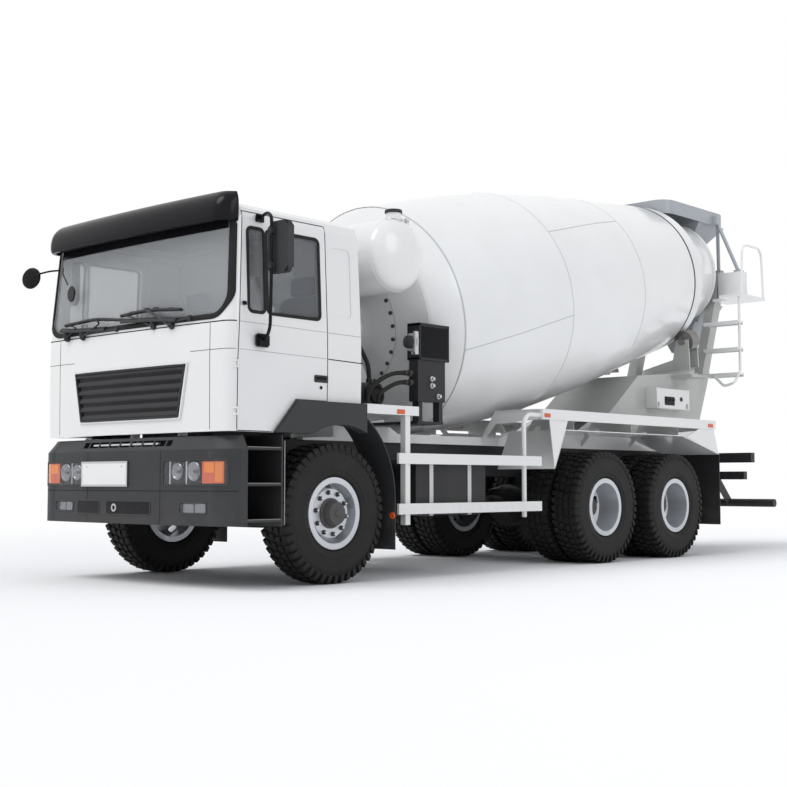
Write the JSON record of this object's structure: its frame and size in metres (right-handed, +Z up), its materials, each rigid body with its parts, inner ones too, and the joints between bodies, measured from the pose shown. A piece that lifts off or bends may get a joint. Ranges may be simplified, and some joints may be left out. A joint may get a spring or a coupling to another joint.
{
  "type": "concrete mixer truck",
  "caption": "Forward-control truck chassis with tilting cab, twin rear axles, turning mixer drum, water tank, charge hopper and swinging discharge chute.",
  "frame": {"origin": "centre of the footprint of the bounding box, on the ground", "axes": "+X to the truck's left side, -Y forward out of the cab's front, +Z up"},
  "size_m": [2.98, 8.986, 4.2],
  "materials": {
    "white_paint": "gloss",
    "drum_paint": "gloss",
    "black_frame": "satin",
    "dark_plastic": "matte",
    "gloss_black": "gloss",
    "wheel_silver": "satin",
    "tyre_rubber": "matte",
    "hose_rubber": "matte",
    "glass_grey": "clear",
    "lamp_glass": "clear",
    "seat_fabric": "woven",
    "inner_trim": "matte",
    "cast_metal": "rough",
    "ring_steel": "worn"
  },
  "bodies": {
    "chassis": {"chassis_frame": "black_frame", "front_axle": "black_frame", "rear_axles": "black_frame", "leaf_springs": "black_frame", "tanks": "black_frame", "tail_beam": "black_frame", "oil_cooler": "black_frame", "oil_filter": "black_frame", "engine_block": "cast_metal", "bumper": "dark_plastic", "lower_fenders": "dark_plastic", "lamps": "lamp_glass", "side_guards": "white_paint", "front_decks": "white_paint", "rear_decks": "white_paint", "subframe": "white_paint", "front_pedestal": "white_paint", "gearbox": "white_paint", "water_tank": "white_paint", "rear_pedestal": "white_paint", "hopper": "white_paint", "discharge_funnel": "white_paint", "rear_ladder": "white_paint", "drum_rollers": "ring_steel", "upper_hose": "hose_rubber", "lower_hose": "hose_rubber", "motor_hose": "hose_rubber"},
    "cab": {"cab_shell": "white_paint", "cab_glass": "glass_grey", "cab_fenders": "dark_plastic", "sun_visor": "gloss_black", "grille": "dark_plastic", "wipers": "dark_plastic", "seats": "seat_fabric", "dashboard": "inner_trim"},
    "door_left": {"door_left": "white_paint", "door_glass_left": "glass_grey", "mirror_left": "gloss_black"},
    "knuckle_left": {"knuckle_left": "black_frame"},
    "door_right": {"door_right": "white_paint", "door_glass_right": "glass_grey", "mirror_right": "gloss_black"},
    "knuckle_right": {"knuckle_right": "black_frame"},
    "tie_rod": {"tie_rod": "black_frame"},
    "wheel_front_left": {"tyre_front_left": "tyre_rubber", "rim_front_left": "wheel_silver"},
    "wheels_middle_left": {"tyres_middle_left": "tyre_rubber", "rims_middle_left": "wheel_silver"},
    "wheels_rear_left": {"tyres_rear_left": "tyre_rubber", "rims_rear_left": "wheel_silver"},
    "wheel_front_right": {"tyre_front_right": "tyre_rubber", "rim_front_right": "wheel_silver"},
    "wheels_middle_right": {"tyres_middle_right": "tyre_rubber", "rims_middle_right": "wheel_silver"},
    "wheels_rear_right": {"tyres_rear_right": "tyre_rubber", "rims_rear_right": "wheel_silver"},
    "drum": {"drum": "drum_paint"},
    "chute_arm": {"chute_arm": "white_paint"},
    "chute": {"chute": "white_paint"}
  },
  "joints": [
    {"name": "cab_tilt", "type": "hinge", "parent": "chassis", "child": "cab", "pos_m": [0, -4.325, 0.95], "axis": [1, 0, 0], "range_deg": [0, 60]},
    {"name": "door_left_swing", "type": "hinge", "parent": "cab", "child": "door_left", "pos_m": [1.206, -4.325, 1.9], "axis": [0, 0, -1], "range_deg": [0, 68]},
    {"name": "door_right_swing", "type": "hinge", "parent": "cab", "child": "door_right", "pos_m": [-1.206, -4.325, 1.9], "axis": [0, 0, 1], "range_deg": [0, 68]},
    {"name": "steer_left", "type": "hinge", "parent": "chassis", "child": "knuckle_left", "pos_m": [0.84, -3.265, 0.558], "axis": [0, 0, 1], "range_deg": [-36, 36]},
    {"name": "steer_right", "type": "hinge", "parent": "chassis", "child": "knuckle_right", "pos_m": [-0.84, -3.265, 0.558], "axis": [0, 0, 1], "range_deg": [-36, 36]},
    {"name": "tie_rod_pivot", "type": "hinge", "parent": "knuckle_left", "child": "tie_rod", "pos_m": [0.84, -2.935, 0.425], "axis": [0, 0, 1], "range_deg": [-36, 36]},
    {"name": "wheel_front_left_spin", "type": "hinge", "parent": "knuckle_left", "child": "wheel_front_left", "pos_m": [1.022, -3.265, 0.558], "axis": [1, 0, 0], "continuous": true},
    {"name": "wheels_middle_left_spin", "type": "hinge", "parent": "chassis", "child": "wheels_middle_left", "pos_m": [0.912, 0.51, 0.558], "axis": [1, 0, 0], "continuous": true},
    {"name": "wheels_rear_left_spin", "type": "hinge", "parent": "chassis", "child": "wheels_rear_left", "pos_m": [0.912, 1.86, 0.558], "axis": [1, 0, 0], "continuous": true},
    {"name": "wheel_front_right_spin", "type": "hinge", "parent": "knuckle_right", "child": "wheel_front_right", "pos_m": [-1.022, -3.265, 0.558], "axis": [1, 0, 0], "continuous": true},
    {"name": "wheels_middle_right_spin", "type": "hinge", "parent": "chassis", "child": "wheels_middle_right", "pos_m": [-0.912, 0.51, 0.558], "axis": [1, 0, 0], "continuous": true},
    {"name": "wheels_rear_right_spin", "type": "hinge", "parent": "chassis", "child": "wheels_rear_right", "pos_m": [-0.912, 1.86, 0.558], "axis": [1, 0, 0], "continuous": true},
    {"name": "drum_spin", "type": "hinge", "parent": "chassis", "child": "drum", "pos_m": [0, -1.566, 2.325], "axis": [0, 0.9799, 0.1994], "continuous": true},
    {"name": "chute_swing", "type": "hinge", "parent": "chassis", "child": "chute_arm", "pos_m": [0, 4.165, 1.9], "axis": [0, 0, -1], "range_deg": [0, 180]},
    {"name": "chute_tilt", "type": "hinge", "parent": "chute_arm", "child": "chute", "pos_m": [0, 4.165, 2.092], "axis": [0, -1, 0], "range_deg": [-20, 10]}
  ],
  "couplings": [
    {"joint": "steer_right", "follows": "steer_left", "ratio": 1},
    {"joint": "tie_rod_pivot", "follows": "steer_left", "ratio": -1}
  ]
}
